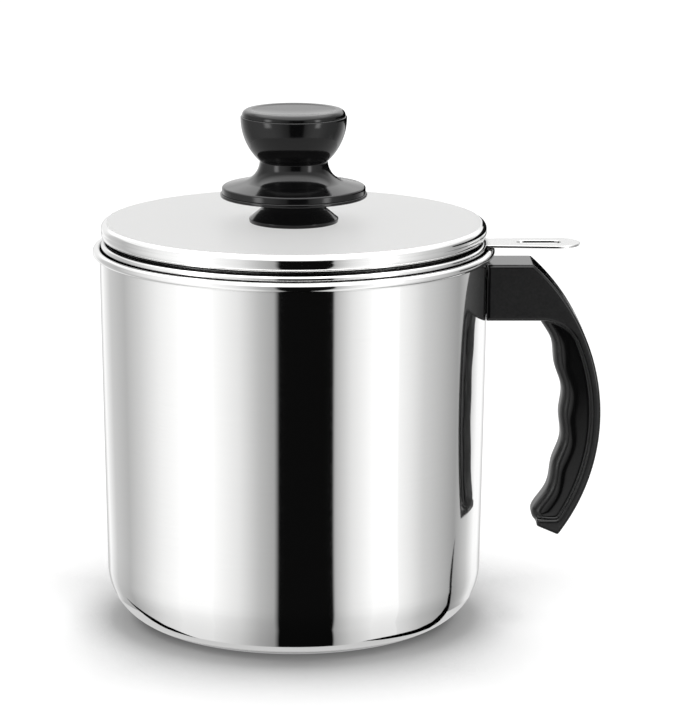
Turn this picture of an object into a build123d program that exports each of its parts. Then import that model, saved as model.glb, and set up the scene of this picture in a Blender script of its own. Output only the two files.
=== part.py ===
from build123d import *
import os
from math import atan2, cos, degrees, pi, radians, sin, sqrt

# Bacon grease container: a drawn steel pot with a moulded side handle, a lift-out mesh strainer
# with a flat pull tab, and a low lid with a turned black knob.
# Millimetres. The origin is the middle of the pot's flat bottom, +Z is up, the handle points to +X.

# ---------------------------------------------------------------- driving dimensions
# pot
pot_height = 121.2          # table to the top of the rolled rim
pot_base_radius = 59.6      # outside of the wall, carried down to the table
pot_mouth_radius = 61.5     # outside of the wall where the rolled rim starts
pot_wall = 0.7
pot_corner_radius = 18.0
rim_roll_radius = 1.4       # outside radius of the rolled rim's section
rim_roll_opening = 100.0    # degrees left open under the roll, on the wall's side

# running and seating gaps
seat_gap = 0.25             # between curved faces that rest on each other
weld_gap = 0.02             # between a bracket and the wall it is spot-welded to
screw_gap = 0.02            # between a screw's shank and its thread
shank_clearance = 0.4       # round a shank in a plain hole
pocket_clearance = 0.3      # round the bracket in the handle's pocket
wall_clearance = 0.15       # between the handle's end and the pot's wall

# handle
handle_half_width = 9.0
block_drop = 4.9            # top of the pot's rim down to the top of the handle's block
block_depth = 18.0
grip_stand_off = 36.0       # outermost point of the grip, beyond the pot's mouth
grip_mid_drop = 48.8        # top of the block down to that point
grip_length = 87.9          # top of the block down to the lowest point of the tip
grip_outer_radius = 65.2    # of the long arc along the grip's back
grip_thickness = 12.3       # mean thickness, from the back to the finger side
spine_thickness = 3.1
cheek_depth = 7.6           # flat cheek under the block, down the spine
tip_flat_height = 5.2       # full-width end of the grip, above its lowest point
tip_depth = 6.8             # how far that end reaches in from the lowest point
tip_slope = 0.43            # rise of its lower face towards the pot
lobe_half_width = 7.3
lobe_round = 4.8
lobe_nose_radius = 3.3      # round lower end of the finger lobe
lobe_toe_inset = 0.6        # from the lobe's lower end to the tip's lowest point
lobe_root = 1.0             # how deep the lobe's root is sunk into the spine
finger_wave = 0.55          # half the depth of a finger groove
finger_groove_count = 4
finger_margin = 5.8         # what the grooves leave of the grip's length under its block
finger_wave_points = 4      # points that carry the curve of each groove
finger_ridge_angle = -0.5   # degrees, the middle ridge above the outermost point
finger_flare = 2.2          # extra depth where the grip meets the block
finger_heel_flare = 1.5     # extra depth towards the lower end of the grip
finger_flare_run = 29.18    # along the finger side, at which both are reached
handle_edge_round = 1.1
cheek_corner_round = 1.5    # where the cheek runs into the block and into the spine

# handle bracket and its screw
bracket_thickness = 1.2
bracket_half_width = 6.0
bracket_half_height = 5.4
tongue_length = 5.0
tongue_half_width = 4.2
tongue_half_height = 3.6
tongue_edge_round = 0.8
screw_drop = 10.3           # top of the handle's block down to its screw's axis
screw_radius = 2.5
screw_engagement = 4.6      # length of thread in the tongue
screw_head_radius = 4.4
screw_head_height = 2.9
driver_slot_length = 5.4
driver_slot_width = 1.1
driver_slot_depth = 1.4
washer_radius = 5.0
washer_thickness = 1.0
spring_washer_radius = 4.6
spring_washer_thickness = 1.2
spring_washer_split = 1.0
counterbore_radius = 5.6
counterbore_web = 5.5       # handle material between the counterbore and the tongue's pocket

# strainer
strainer_rim_overlap = 0.2  # how far the hoop reaches over the rolled rim
strainer_rim_height = 2.45
strainer_rim_round = 0.6
strainer_clearance = 1.0    # from the collar to the pot's wall, at the strainer's lowest ring
strainer_sheet = 0.6
collar_depth = 9.0          # top of the hoop to the ledge
ledge_width = 5.0
mesh_thickness = 0.5
mesh_depth = 10.0
mesh_edge_margin = 0.8
clamp_thickness = 0.8
tab_thickness = 0.8
tab_rim_gap = 0.2           # from the tab to the top of the pot's rim
tab_length = 29.6           # from the hoop's edge to the tab's tip
tab_root_half_width = 6.0
tab_end_radius = 7.6
tab_root_depth = 1.9        # how deep the tab's root sits in the hoop
slot_length = 14.0
slot_width = 5.0
slot_inset = 6.0            # from the slot's end to the tab's tip

# lid
lid_sheet = 0.7
lid_edge_gap = 0.85         # from the strainer's hoop to the lid's lower edge
lid_edge_inset = 1.2        # from the strainer's hoop in to the lid's lower edge
lid_widest_inset = 0.1      # and to the widest part of its shoulder
lid_crease_inset = 1.5      # and to the crease round its top
lid_widest_rise = 2.8       # above the lid's lower edge
lid_crease_rise = 5.25      # above the lid's lower edge
lid_crease_step = 0.3
lid_shoulder_fullness = 0.72  # 0.5 makes the shoulder and the curl under it straight, 1 square
lid_dish_depth = 0.25       # crease down to the flat middle of the top
lid_seat_radius = 17.0      # flat that the knob stands on
locating_clearance = 0.5    # between the lid's locating ring and the strainer's collar
locating_sheet = 0.6
locating_lip = 1.2          # how far the ring rises inside the lid's edge

# knob
foot_height = 8.15
foot_radius = 14.2
foot_edge_height = 1.1
foot_cone_height = 3.0
foot_neck_radius = 10.5
foot_top_radius = 9.4
foot_taper = 0.2            # lean of the foot's edge, and hollow of its neck
underplate_thickness = 1.0
underplate_radius = 23.2
knob_skirt_radius = 22.7
knob_skirt_edge = 2.1       # height of the skirt's upright edge
knob_skirt_rise = 1.6       # edge to where the neck starts to rise
knob_neck_flare_radius = 16.0
knob_waist_radius = 10.75
knob_waist_height = 10.3    # above the underplate
knob_neck_hollow = 0.9      # how far the neck stands out from the waist, low down
knob_bowl_radius = 16.75
knob_bowl_sag = 1.7         # how far the bowl's side bulges from a straight cone
knob_height = 24.5          # underplate to the seam of the cap
cap_thickness = 2.0
cap_radius = 16.3
cap_dish_radius = 13.3
cap_dish_depth = 1.0
insert_radius = 4.5
insert_length = 14.0
insert_groove_depth = 0.6
insert_groove_width = 3.0
insert_end = 1.0            # closed upper end of the insert
knob_screw_engagement = 11.0
lid_washer_radius = 6.5

# rounds and bulges, as shares of the size that they belong to
screw_head_round_share = 0.6  # of the head's height
screw_point_share = 0.2     # chamfer at a screw's end, of its radius
thin_edge_round_share = 0.3 # of a thin ring's thickness
knob_skirt_round_share = 0.35  # of the height of the skirt's upright edge
cap_edge_round_share = 0.85 # of the cap's thickness
bulge_out_share = 0.9       # of the bowl's sag, outwards
bulge_down_share = 0.4      # of the bowl's sag, downwards
dish_middle_share = 0.25    # of the lid's dish, reached halfway to the crease

# construction
overcut = 1.0               # how far a cutting shape runs past the face it cuts

# ---------------------------------------------------------------- sizes worked out from them
roll_centre_radius = pot_mouth_radius - pot_wall + rim_roll_radius
roll_centre_height = pot_height - rim_roll_radius


def wall_radius(height):
    """Outside radius of the pot's slightly tapered wall."""
    return pot_base_radius + (pot_mouth_radius - pot_base_radius) * height / roll_centre_height


# The strainer's hoop rests on the inner shoulder of the rolled rim.
strainer_rim_radius = roll_centre_radius - rim_roll_radius + strainer_rim_overlap
hoop_reach = roll_centre_radius - (strainer_rim_radius - strainer_rim_round)
hoop_distance = rim_roll_radius + seat_gap + strainer_rim_round
strainer_rim_bottom = roll_centre_height + sqrt(hoop_distance**2 - hoop_reach**2) - strainer_rim_round
strainer_rim_top = strainer_rim_bottom + strainer_rim_height
ledge_top = strainer_rim_top - collar_depth
ledge_bottom = ledge_top - strainer_sheet
mesh_bottom = ledge_bottom - mesh_thickness
clamp_bottom = mesh_bottom - clamp_thickness
collar_outer_radius = wall_radius(clamp_bottom) - pot_wall - strainer_clearance
collar_inner_radius = collar_outer_radius - strainer_sheet
ledge_inner_radius = collar_outer_radius - ledge_width
tab_bottom = pot_height + tab_rim_gap
tab_root = strainer_rim_radius - tab_root_depth
tab_reach = strainer_rim_radius + tab_length

locating_radius = collar_inner_radius - locating_clearance
lid_edge_radius = strainer_rim_radius - lid_edge_inset
lid_widest_radius = strainer_rim_radius - lid_widest_inset
lid_crease_radius = strainer_rim_radius - lid_crease_inset
lid_edge_height = strainer_rim_top + lid_edge_gap
lid_crease_height = lid_edge_height + lid_crease_rise
seat_height = lid_crease_height - lid_dish_depth

underplate_bottom = seat_height + foot_height
knob_bottom = underplate_bottom + underplate_thickness
cap_bottom = knob_bottom + knob_height
overall_height = cap_bottom + cap_thickness

block_top = pot_height - block_drop
block_bottom = block_top - block_depth
grip_mid_height = block_top - grip_mid_drop
grip_tip_height = block_top - grip_length
grip_reach = pot_mouth_radius + grip_stand_off
grip_centre = grip_reach - grip_outer_radius
spine_radius = grip_outer_radius - spine_thickness
finger_radius = grip_outer_radius - grip_thickness
finger_spacing = (grip_length - block_depth - finger_margin) / finger_groove_count
finger_pitch = degrees(finger_spacing / finger_radius)
finger_flare_angle = degrees(finger_flare_run / finger_radius)
screw_height = block_top - screw_drop


# ---------------------------------------------------------------- helpers
def near(shape, x, y):
    """The corner of a flat outline that lies nearest to a point."""
    return shape.vertices().sort_by_distance((x, y, 0))[0]


def outline(*lines):
    """A flat face inside a closed run of lines."""
    return make_face(Wire([edge for line in lines for edge in line.edges()]).edges())


def block2d(low_x, low_y, high_x, high_y):
    """A flat rectangle between two corners."""
    centre = Location(((low_x + high_x) / 2, (low_y + high_y) / 2))
    return centre * Rectangle(high_x - low_x, high_y - low_y)


def turned(profile):
    """Turn a profile round the pot's axis. Its x is the radius and its y is the height."""
    return revolve(Plane.XZ * profile, Axis.Z)


def ring(inner, outer, low, high, round_radius=0.0):
    """A flat ring round the pot's axis, with rounded outer corners."""
    profile = block2d(inner, low, outer, high)
    if round_radius > 0:
        profile = fillet([near(profile, outer, low), near(profile, outer, high)], round_radius)
    return turned(profile)


def rod(radius, low, high):
    """A cylinder on the pot's axis."""
    return Location((0, 0, (low + high) / 2)) * Cylinder(radius, high - low)


def box(low, high):
    """A box between two corners."""
    size = [b - a for a, b in zip(low, high)]
    return Location([(a + b) / 2 for a, b in zip(low, high)]) * Box(*size)


def grip_point(radius, angle):
    """A point on the grip, by its radius and its angle in degrees about the grip's own centre."""
    x = grip_centre + radius * cos(radians(angle))
    return (x, grip_mid_height + radius * sin(radians(angle)))


def grip_back(height):
    """How far out the grip's back lies at a height."""
    return grip_centre + sqrt(grip_outer_radius**2 - (height - grip_mid_height) ** 2)


def grip_angle(height, radius):
    """The angle about the grip's centre at which an arc reaches a height."""
    return degrees(atan2(height - grip_mid_height, sqrt(radius**2 - (height - grip_mid_height) ** 2)))


def grip_arc(radius, start, end):
    """An arc about the grip's centre, between two angles."""
    middle = (start + end) / 2
    return ThreePointArc(grip_point(radius, start), grip_point(radius, middle), grip_point(radius, end))


# ---------------------------------------------------------------- pot
def pot_space(inset):
    """The pot's outline, filled to the axis, drawn in by a wall's thickness."""
    low = (wall_radius(inset) - inset, inset)
    high = (pot_mouth_radius - inset, roll_centre_height)
    filled = outline(Polyline((0, inset), low, high, (0, roll_centre_height), (0, inset)))
    return fillet(near(filled, *low), pot_corner_radius - inset)


def make_pot_body():
    """One drawn sheet: flat bottom, round corner, tapered wall and an outward-rolled rim."""
    centre = Location((roll_centre_radius, roll_centre_height))
    roll = centre * (Circle(rim_roll_radius) - Circle(rim_roll_radius - pot_wall))
    reach = 2 * rim_roll_radius
    low_angle = radians(180 + rim_roll_opening)
    gap = outline(
        Polyline(
            (0, 0),
            (-reach, 0),
            (-reach, -reach),
            (reach * cos(low_angle), reach * sin(low_angle)),
            (0, 0),
        )
    )
    return turned(pot_space(0) - pot_space(pot_wall) + (roll - centre * gap))


def wall_cone(margin):
    """The solid space of the pot's wall, for cutting what stands against it."""
    low = (pot_base_radius + margin, 0)
    high = (pot_mouth_radius + margin, roll_centre_height)
    return turned(outline(Polyline((0, 0), low, high, (0, roll_centre_height), (0, 0))))


# ---------------------------------------------------------------- screws and washers
def upright_screw(head_bottom, shank_length):
    """A round-headed slotted screw, head down, shank up, on the pot's axis."""
    head_top = head_bottom + screw_head_height
    head = block2d(0, head_bottom, screw_head_radius, head_top)
    head = fillet(near(head, screw_head_radius, head_bottom), screw_head_height * screw_head_round_share)
    shank = rod(screw_radius, head_top, head_top + shank_length)
    shank = chamfer(shank.edges().sort_by(Axis.Z)[-1], screw_radius * screw_point_share)
    slot = box(
        (-driver_slot_length / 2, -driver_slot_width / 2, head_bottom - overcut),
        (driver_slot_length / 2, driver_slot_width / 2, head_bottom + driver_slot_depth),
    )
    return turned(head) + shank - slot


def upright_spring_washer(low):
    """A split spring washer, flattened as it is when the screw is tight."""
    hole = screw_radius + shank_clearance / 2
    whole = ring(hole, spring_washer_radius, low, low + spring_washer_thickness)
    split = spring_washer_split / 2
    high = low + spring_washer_thickness
    return whole - box((0, -split, low - overcut), (washer_radius + overcut, split, high + overcut))


def upright_washer(radius, low):
    """A plain washer."""
    return ring(screw_radius + shank_clearance / 2, radius, low, low + washer_thickness)


# ---------------------------------------------------------------- handle
# The screw lies along X at screw_height, with its head in a counterbore in the grip's back.
tongue_tip = wall_radius(screw_height) + weld_gap + bracket_thickness + tongue_length
counterbore_floor = tongue_tip + pocket_clearance + counterbore_web
handle_stack = washer_thickness + spring_washer_thickness
head_seat = counterbore_floor + handle_stack


def lay_down(piece):
    """Turn a piece built up the pot's axis so that it points at the pot along the handle screw."""
    return Location((0, 0, screw_height)) * Rotation(0, -90, 0) * piece


def make_handle_bracket():
    """A plate bent to the wall and spot-welded to it, with a tapped tongue for the screw."""
    inner = wall_radius(screw_height) - 2 * overcut
    outer = wall_radius(screw_height) + weld_gap + bracket_thickness
    low = screw_height - bracket_half_height
    high = screw_height + bracket_half_height
    plate = box((inner, -bracket_half_width, low), (outer + 2 * overcut, bracket_half_width, high))
    plate = plate & wall_cone(weld_gap + bracket_thickness)
    tongue = box(
        (inner, -tongue_half_width, screw_height - tongue_half_height),
        (tongue_tip, tongue_half_width, screw_height + tongue_half_height),
    )
    tongue = fillet(tongue.edges().filter_by(Axis.X), tongue_edge_round)
    thread = lay_down(rod(screw_radius + screw_gap, -tongue_tip - overcut, -outer))
    return plate + tongue - wall_cone(weld_gap) - thread


def make_handle_grip():
    """The black moulding: flat-sided block and spine, finger lobe, bracket pocket and screw hole."""
    root = pot_base_radius - 3 * overcut
    back_top = grip_angle(block_top, grip_outer_radius)
    back_tip = grip_angle(grip_tip_height, grip_outer_radius)
    tip_low = grip_point(grip_outer_radius, back_tip)
    tip_inner = tip_low[0] - tip_depth
    tip_high = grip_tip_height + tip_flat_height
    spine_low = grip_angle(tip_high, spine_radius)
    spine_high = grip_angle(block_bottom - cheek_depth, spine_radius)

    # The cheek's lower edge sweeps from the block's underside into the spine.
    finger_top = finger_side(finger_flare_angle)
    cheek_end = grip_point(spine_radius, spine_high)
    cheek_middle = ((finger_top[0] + 2 * cheek_end[0]) / 3, (2 * block_bottom + cheek_end[1]) / 3)
    flat = outline(
        grip_arc(grip_outer_radius, back_top, back_tip),
        Polyline(
            tip_low,
            (tip_inner, tip_floor(tip_inner, tip_low)),
            (tip_inner, tip_high),
            grip_point(spine_radius, spine_low),
        ),
        grip_arc(spine_radius, spine_low, spine_high),
        ThreePointArc(cheek_end, cheek_middle, (finger_top[0], block_bottom)),
        Polyline(
            (finger_top[0], block_bottom),
            (root, block_bottom),
            (root, block_top),
            grip_point(grip_outer_radius, back_top),
        ),
    )
    hollows = [(finger_top[0], block_bottom), cheek_end, grip_point(spine_radius, spine_low)]
    flat = fillet([near(flat, *spot) for spot in hollows], cheek_corner_round)
    body = extrude(Plane.XZ * flat, handle_half_width, both=True)
    sides = body.faces().filter_by(Axis.Y).sort_by(Axis.Y)
    body = fillet(sides[0].edges() + sides[-1].edges(), handle_edge_round)
    return body + make_finger_lobe(tip_low) - bracket_pocket() - wall_cone(wall_clearance)


def finger_side(angle):
    """A point on the wavy finger side of the grip, at an angle about the grip's centre."""
    wave = finger_wave * cos(2 * pi * (angle - finger_ridge_angle) / finger_pitch)
    deepest = finger_flare if angle > 0 else finger_heel_flare
    flare = deepest * (angle / finger_flare_angle) ** 2
    return grip_point(finger_radius - wave + flare, angle)


def finger_run(angle):
    """The direction of the finger side at an angle, heading for the grip's lower end."""
    before = finger_side(angle + 0.01)
    after = finger_side(angle - 0.01)
    return Vector(after[0] - before[0], after[1] - before[1]).normalized()


def make_finger_lobe(tip_low):
    """The rounded, wavy inner side of the grip, which stands in from the spine's flat sides."""
    first = finger_ridge_angle + finger_pitch * finger_groove_count / 2
    last = finger_ridge_angle - finger_pitch * finger_groove_count / 2
    steps = finger_groove_count * finger_wave_points
    waves = [finger_side(first + (last - first) * step / steps) for step in range(steps + 1)]
    heading = finger_run(last)

    # Below the last ridge the lobe turns round a nose and runs back along the tip's lower face.
    under = Vector(1, -tip_slope).normalized()
    last_ridge = Vector(*waves[-1])
    centre = last_ridge + lobe_nose_radius * Vector(-heading.Y, heading.X)
    nose_end = centre - lobe_nose_radius * Vector(-under.Y, under.X)
    toe = nose_end + under * ((tip_low[0] - lobe_toe_inset - nose_end.X) / under.X)
    buried = spine_radius + lobe_root
    end = grip_angle(toe.Y + lobe_root, buried)
    lobe = outline(
        Spline(*waves, tangents=[finger_run(first), heading]),
        TangentArc(waves[-1], nose_end, tangent=heading),
        Line(nose_end, toe),
        Line(toe, grip_point(buried, end)),
        grip_arc(buried, end, first),
        Line(grip_point(buried, first), waves[0]),
    )
    solid = extrude(Plane.XZ * lobe, lobe_half_width, both=True)
    sides = solid.faces().filter_by(Axis.Y).sort_by(Axis.Y)
    rims = [edge for edge in sides[0].edges() + sides[-1].edges() if is_finger_edge(edge, tip_low)]
    return fillet(rims, lobe_round)


def is_finger_edge(edge, tip_low):
    """Whether an edge of the lobe lies on its finger side, from the block to the toe."""
    return edge.geom_type == GeomType.BSPLINE or edge.center().X < tip_low[0] - tip_depth / 2


def tip_floor(x, tip_low):
    """Height of the tip's slanted lower face at a distance from the pot's axis."""
    return tip_low[1] + tip_slope * (tip_low[0] - x)


def bracket_pocket():
    """The hollow for the bracket, and the screw's hole and counterbore behind it."""
    margin = pocket_clearance
    root = pot_base_radius - 4 * overcut
    outer = wall_radius(screw_height) + weld_gap + bracket_thickness + margin
    plate = box(
        (root, -bracket_half_width - margin, screw_height - bracket_half_height - margin),
        (outer, bracket_half_width + margin, screw_height + bracket_half_height + margin),
    )
    tongue = box(
        (root, -tongue_half_width - margin, screw_height - tongue_half_height - margin),
        (tongue_tip + margin, tongue_half_width + margin, screw_height + tongue_half_height + margin),
    )
    hole = lay_down(rod(screw_radius + shank_clearance, -grip_reach, -tongue_tip))
    counterbore = lay_down(rod(counterbore_radius, -grip_reach, -counterbore_floor))
    return plate + tongue + hole + counterbore


def make_handle_screw():
    shank = head_seat - tongue_tip + screw_engagement
    return lay_down(upright_screw(-head_seat - screw_head_height, shank))


def make_handle_washer():
    return lay_down(upright_washer(washer_radius, -counterbore_floor - washer_thickness))


def make_handle_spring_washer():
    return lay_down(upright_spring_washer(-head_seat))


# ---------------------------------------------------------------- strainer
def tab_outline():
    """The pull tab from above: slightly tapered, with a round end."""
    end = tab_reach - tab_end_radius
    return outline(
        Line((end, -tab_end_radius), (tab_root, -tab_root_half_width)),
        Line((tab_root, -tab_root_half_width), (tab_root, tab_root_half_width)),
        Line((tab_root, tab_root_half_width), (end, tab_end_radius)),
        ThreePointArc((end, tab_end_radius), (tab_reach, 0), (end, -tab_end_radius)),
    )


def make_strainer_tab():
    """A flat strip with a long hanging slot, its root caught in the strainer's hoop."""
    strip = extrude(Location((0, 0, tab_bottom)) * tab_outline(), tab_thickness)
    slot_centre = tab_reach - slot_inset - slot_length / 2
    slot = extrude(
        Location((slot_centre, 0, tab_bottom - overcut)) * SlotOverall(slot_length, slot_width),
        tab_thickness + 2 * overcut,
    )
    return strip - slot


def make_strainer_frame():
    """The hoop that rests on the pot's rim, its collar and the ledge that holds the mesh."""
    hoop = block2d(collar_inner_radius, strainer_rim_bottom, strainer_rim_radius, strainer_rim_top)
    outer = [near(hoop, strainer_rim_radius, strainer_rim_bottom)]
    outer.append(near(hoop, strainer_rim_radius, strainer_rim_top))
    hoop = fillet(outer, strainer_rim_round)
    collar = block2d(collar_inner_radius, ledge_bottom, collar_outer_radius, strainer_rim_bottom)
    ledge = block2d(ledge_inner_radius, ledge_bottom, collar_outer_radius, ledge_top)
    tab_space = extrude(Location((0, 0, tab_bottom)) * tab_outline(), tab_thickness)
    return turned(hoop + collar + ledge) - tab_space


def make_strainer_mesh():
    """The fine woven screen: a flat margin under the ledge, and a shallow dish."""
    sphere = (ledge_inner_radius**2 + mesh_depth**2) / (2 * mesh_depth)

    def dish(rim_height, edge):
        centre = rim_height - mesh_depth + sphere
        middle = ledge_inner_radius / 2
        arc = ThreePointArc(
            (0, rim_height - mesh_depth),
            (middle, centre - sqrt(sphere**2 - middle**2)),
            (ledge_inner_radius, rim_height),
        )
        return arc, Line((ledge_inner_radius, rim_height), (edge, rim_height))

    edge = collar_outer_radius - mesh_edge_margin
    low_arc, low_margin = dish(mesh_bottom, edge)
    high_arc, high_margin = dish(ledge_bottom, edge)
    profile = outline(
        low_arc,
        low_margin,
        Line((edge, mesh_bottom), (edge, ledge_bottom)),
        high_margin,
        high_arc,
        Line((0, ledge_bottom - mesh_depth), (0, mesh_bottom - mesh_depth)),
    )
    return turned(profile)


def make_strainer_clamp_ring():
    """The ring that presses the mesh's margin against the ledge."""
    edge_round = clamp_thickness * thin_edge_round_share
    return ring(ledge_inner_radius, collar_outer_radius, clamp_bottom, mesh_bottom, edge_round)


# ---------------------------------------------------------------- lid
def lid_space(inset, bottom):
    """The lid's outline, filled to the axis, drawn in by the sheet's thickness."""
    seat = seat_height - inset
    crease = (lid_crease_radius - inset, lid_crease_height - inset)
    step = (crease[0] + lid_crease_step, crease[1] - lid_crease_step)
    widest = (lid_widest_radius - inset, lid_edge_height + lid_widest_rise)
    edge = (lid_edge_radius - inset, bottom)
    full = lid_shoulder_fullness
    shoulder = (widest[0] * full + step[0] * (1 - full), step[1] * full + widest[1] * (1 - full))
    curl = (widest[0] * full + edge[0] * (1 - full), edge[1] * full + widest[1] * (1 - full))
    dish_middle = ((lid_seat_radius + crease[0]) / 2, seat + lid_dish_depth * dish_middle_share)
    return outline(
        Polyline((0, bottom), (0, seat), (lid_seat_radius, seat)),
        ThreePointArc((lid_seat_radius, seat), dish_middle, crease),
        Line(crease, step),
        ThreePointArc(step, shoulder, widest),
        ThreePointArc(widest, curl, edge),
        Line(edge, (0, bottom)),
    )


def make_lid_shell():
    """One pressed sheet: shallow dished top, crease, rolled shoulder and turned-in edge."""
    flange_top = lid_edge_height + lid_sheet
    hollow = lid_space(lid_sheet, flange_top)
    mouth = block2d(0, lid_edge_height, locating_radius, flange_top)
    shell = turned(lid_space(0, lid_edge_height) - hollow - mouth)
    return shell - rod(screw_radius + shank_clearance, lid_edge_height, lid_crease_height)


def make_lid_locating_ring():
    """The ring welded inside the lid's edge. It centres the lid in the strainer's collar."""
    top = lid_edge_height + lid_sheet + locating_lip
    return ring(locating_radius - locating_sheet, locating_radius, ledge_top, top)


# ---------------------------------------------------------------- knob
def make_knob_foot():
    """A conical collar between the lid and the knob's skirt."""
    cone_top = seat_height + foot_edge_height + foot_cone_height
    neck = ThreePointArc(
        (foot_neck_radius, cone_top),
        (foot_top_radius + foot_taper, (cone_top + underplate_bottom) / 2),
        (foot_top_radius, underplate_bottom),
    )
    profile = outline(
        Polyline(
            (0, underplate_bottom),
            (0, seat_height),
            (foot_radius - foot_taper, seat_height),
            (foot_radius, seat_height + foot_edge_height),
            (foot_neck_radius, cone_top),
        ),
        neck,
        Line((foot_top_radius, underplate_bottom), (0, underplate_bottom)),
    )
    return turned(profile) - knob_bore()


def knob_bore():
    """The plain hole for the knob's screw, from the lid up to the threaded insert."""
    return rod(screw_radius + shank_clearance, seat_height - overcut, knob_bottom)


def make_knob_underplate():
    """The thin disc that closes the knob's skirt from below."""
    edge_round = underplate_thickness * thin_edge_round_share
    plate = ring(0, underplate_radius, underplate_bottom, knob_bottom, edge_round)
    return plate - knob_bore()


def make_knob_body():
    """The grip of the knob: broad skirt, narrow waist and a bowl for the fingers."""
    edge_top = knob_bottom + knob_skirt_edge
    neck_start = edge_top + knob_skirt_rise
    waist = knob_bottom + knob_waist_height
    bowl_middle_radius = (knob_waist_radius + knob_bowl_radius) / 2 + knob_bowl_sag * bulge_out_share
    bowl_middle_height = (waist + cap_bottom) / 2 - knob_bowl_sag * bulge_down_share
    neck_middle = (knob_waist_radius + knob_neck_hollow, (neck_start + waist) / 2)
    profile = outline(
        Polyline(
            (0, cap_bottom),
            (0, knob_bottom),
            (knob_skirt_radius, knob_bottom),
            (knob_skirt_radius, edge_top),
            (knob_neck_flare_radius, neck_start),
        ),
        ThreePointArc((knob_neck_flare_radius, neck_start), neck_middle, (knob_waist_radius, waist)),
        ThreePointArc(
            (knob_waist_radius, waist),
            (bowl_middle_radius, bowl_middle_height),
            (knob_bowl_radius, cap_bottom),
        ),
        Line((knob_bowl_radius, cap_bottom), (0, cap_bottom)),
    )
    profile = fillet(near(profile, knob_skirt_radius, edge_top), knob_skirt_edge * knob_skirt_round_share)
    return turned(profile) - insert_blank()


def insert_blank():
    """The outside of the threaded insert, which the knob is moulded round."""
    low = knob_bottom
    middle = low + insert_length / 2
    whole = rod(insert_radius, low, low + insert_length)
    groove = ring(
        insert_radius - insert_groove_depth,
        insert_radius + overcut,
        middle - insert_groove_width / 2,
        middle + insert_groove_width / 2,
    )
    return whole - groove


def make_knob_insert():
    """The brass thread moulded into the knob, open below for the screw."""
    thread_top = knob_bottom + insert_length - insert_end
    return insert_blank() - rod(screw_radius + screw_gap, knob_bottom, thread_top)


def make_knob_cap():
    """The thin dished button on top of the knob, with a seam round it."""
    profile = block2d(0, cap_bottom, cap_radius, overall_height)
    profile = fillet(near(profile, cap_radius, overall_height), cap_thickness * cap_edge_round_share)
    ball = (cap_dish_radius**2 + cap_dish_depth**2) / (2 * cap_dish_depth)
    dish = Location((0, 0, overall_height - cap_dish_depth + ball)) * Sphere(ball)
    return turned(profile) - dish


# The knob's screw comes up through the lid, head below, with its washers under the sheet.
lid_underside = seat_height - lid_sheet
knob_head_seat = lid_underside - washer_thickness - spring_washer_thickness


def make_knob_washer():
    return upright_washer(lid_washer_radius, lid_underside - washer_thickness)


def make_knob_spring_washer():
    return upright_spring_washer(knob_head_seat)


def make_knob_screw():
    shank = knob_bottom + knob_screw_engagement - knob_head_seat
    return upright_screw(knob_head_seat - screw_head_height, shank)


# ---------------------------------------------------------------- write the pieces
pieces = {
    "pot_body": make_pot_body,
    "handle_bracket": make_handle_bracket,
    "handle_grip": make_handle_grip,
    "handle_screw": make_handle_screw,
    "handle_washer": make_handle_washer,
    "handle_spring_washer": make_handle_spring_washer,
    "strainer_frame": make_strainer_frame,
    "strainer_tab": make_strainer_tab,
    "strainer_mesh": make_strainer_mesh,
    "strainer_clamp_ring": make_strainer_clamp_ring,
    "lid_shell": make_lid_shell,
    "lid_locating_ring": make_lid_locating_ring,
    "knob_foot": make_knob_foot,
    "knob_underplate": make_knob_underplate,
    "knob_body": make_knob_body,
    "knob_cap": make_knob_cap,
    "knob_insert": make_knob_insert,
    "knob_screw": make_knob_screw,
    "knob_washer": make_knob_washer,
    "knob_spring_washer": make_knob_spring_washer,
}

os.makedirs("parts", exist_ok=True)
for name, make in pieces.items():
    export_step(make(), f"parts/{name}.step")
print("overall height", round(overall_height, 2))
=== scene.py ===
# %% [markdown]
# # A bacon grease container in polished steel and black moulding
#
# The container has a drawn steel pot with a side handle, a strainer that lifts out by a flat tab, and
# a low lid with a turned knob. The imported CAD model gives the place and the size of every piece. This
# lesson gives the pieces their smooth surfaces and their finishes.
#
# Lengths are written in millimetres, as a maker would say them, and turned into Blender's metres by
# one factor.

from math import atan2, ceil, cos, degrees, pi, radians, sin, sqrt, tan

import bmesh
import bpy
from mathutils import Matrix, Vector


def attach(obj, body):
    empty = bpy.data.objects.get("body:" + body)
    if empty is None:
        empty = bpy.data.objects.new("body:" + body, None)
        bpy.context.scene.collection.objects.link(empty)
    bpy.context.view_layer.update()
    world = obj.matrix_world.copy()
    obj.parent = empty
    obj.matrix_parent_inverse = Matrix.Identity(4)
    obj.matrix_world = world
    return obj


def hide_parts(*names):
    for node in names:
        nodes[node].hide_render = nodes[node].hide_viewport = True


mm = 0.001
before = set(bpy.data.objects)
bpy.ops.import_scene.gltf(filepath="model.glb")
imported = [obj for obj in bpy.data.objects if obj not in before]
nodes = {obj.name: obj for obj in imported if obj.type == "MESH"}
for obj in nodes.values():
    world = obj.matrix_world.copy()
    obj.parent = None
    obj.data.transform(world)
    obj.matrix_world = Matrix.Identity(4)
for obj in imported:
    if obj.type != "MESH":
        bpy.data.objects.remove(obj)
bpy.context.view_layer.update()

# %% [markdown]
# ## The camera
#
# Product pictures are taken with a long lens from a little above. A long lens keeps the rims nearly
# flat ellipses. The camera stands about a metre away and looks 12 degrees down. The small shift moves
# the picture's frame sideways without turning the camera, so upright lines stay upright.

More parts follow.
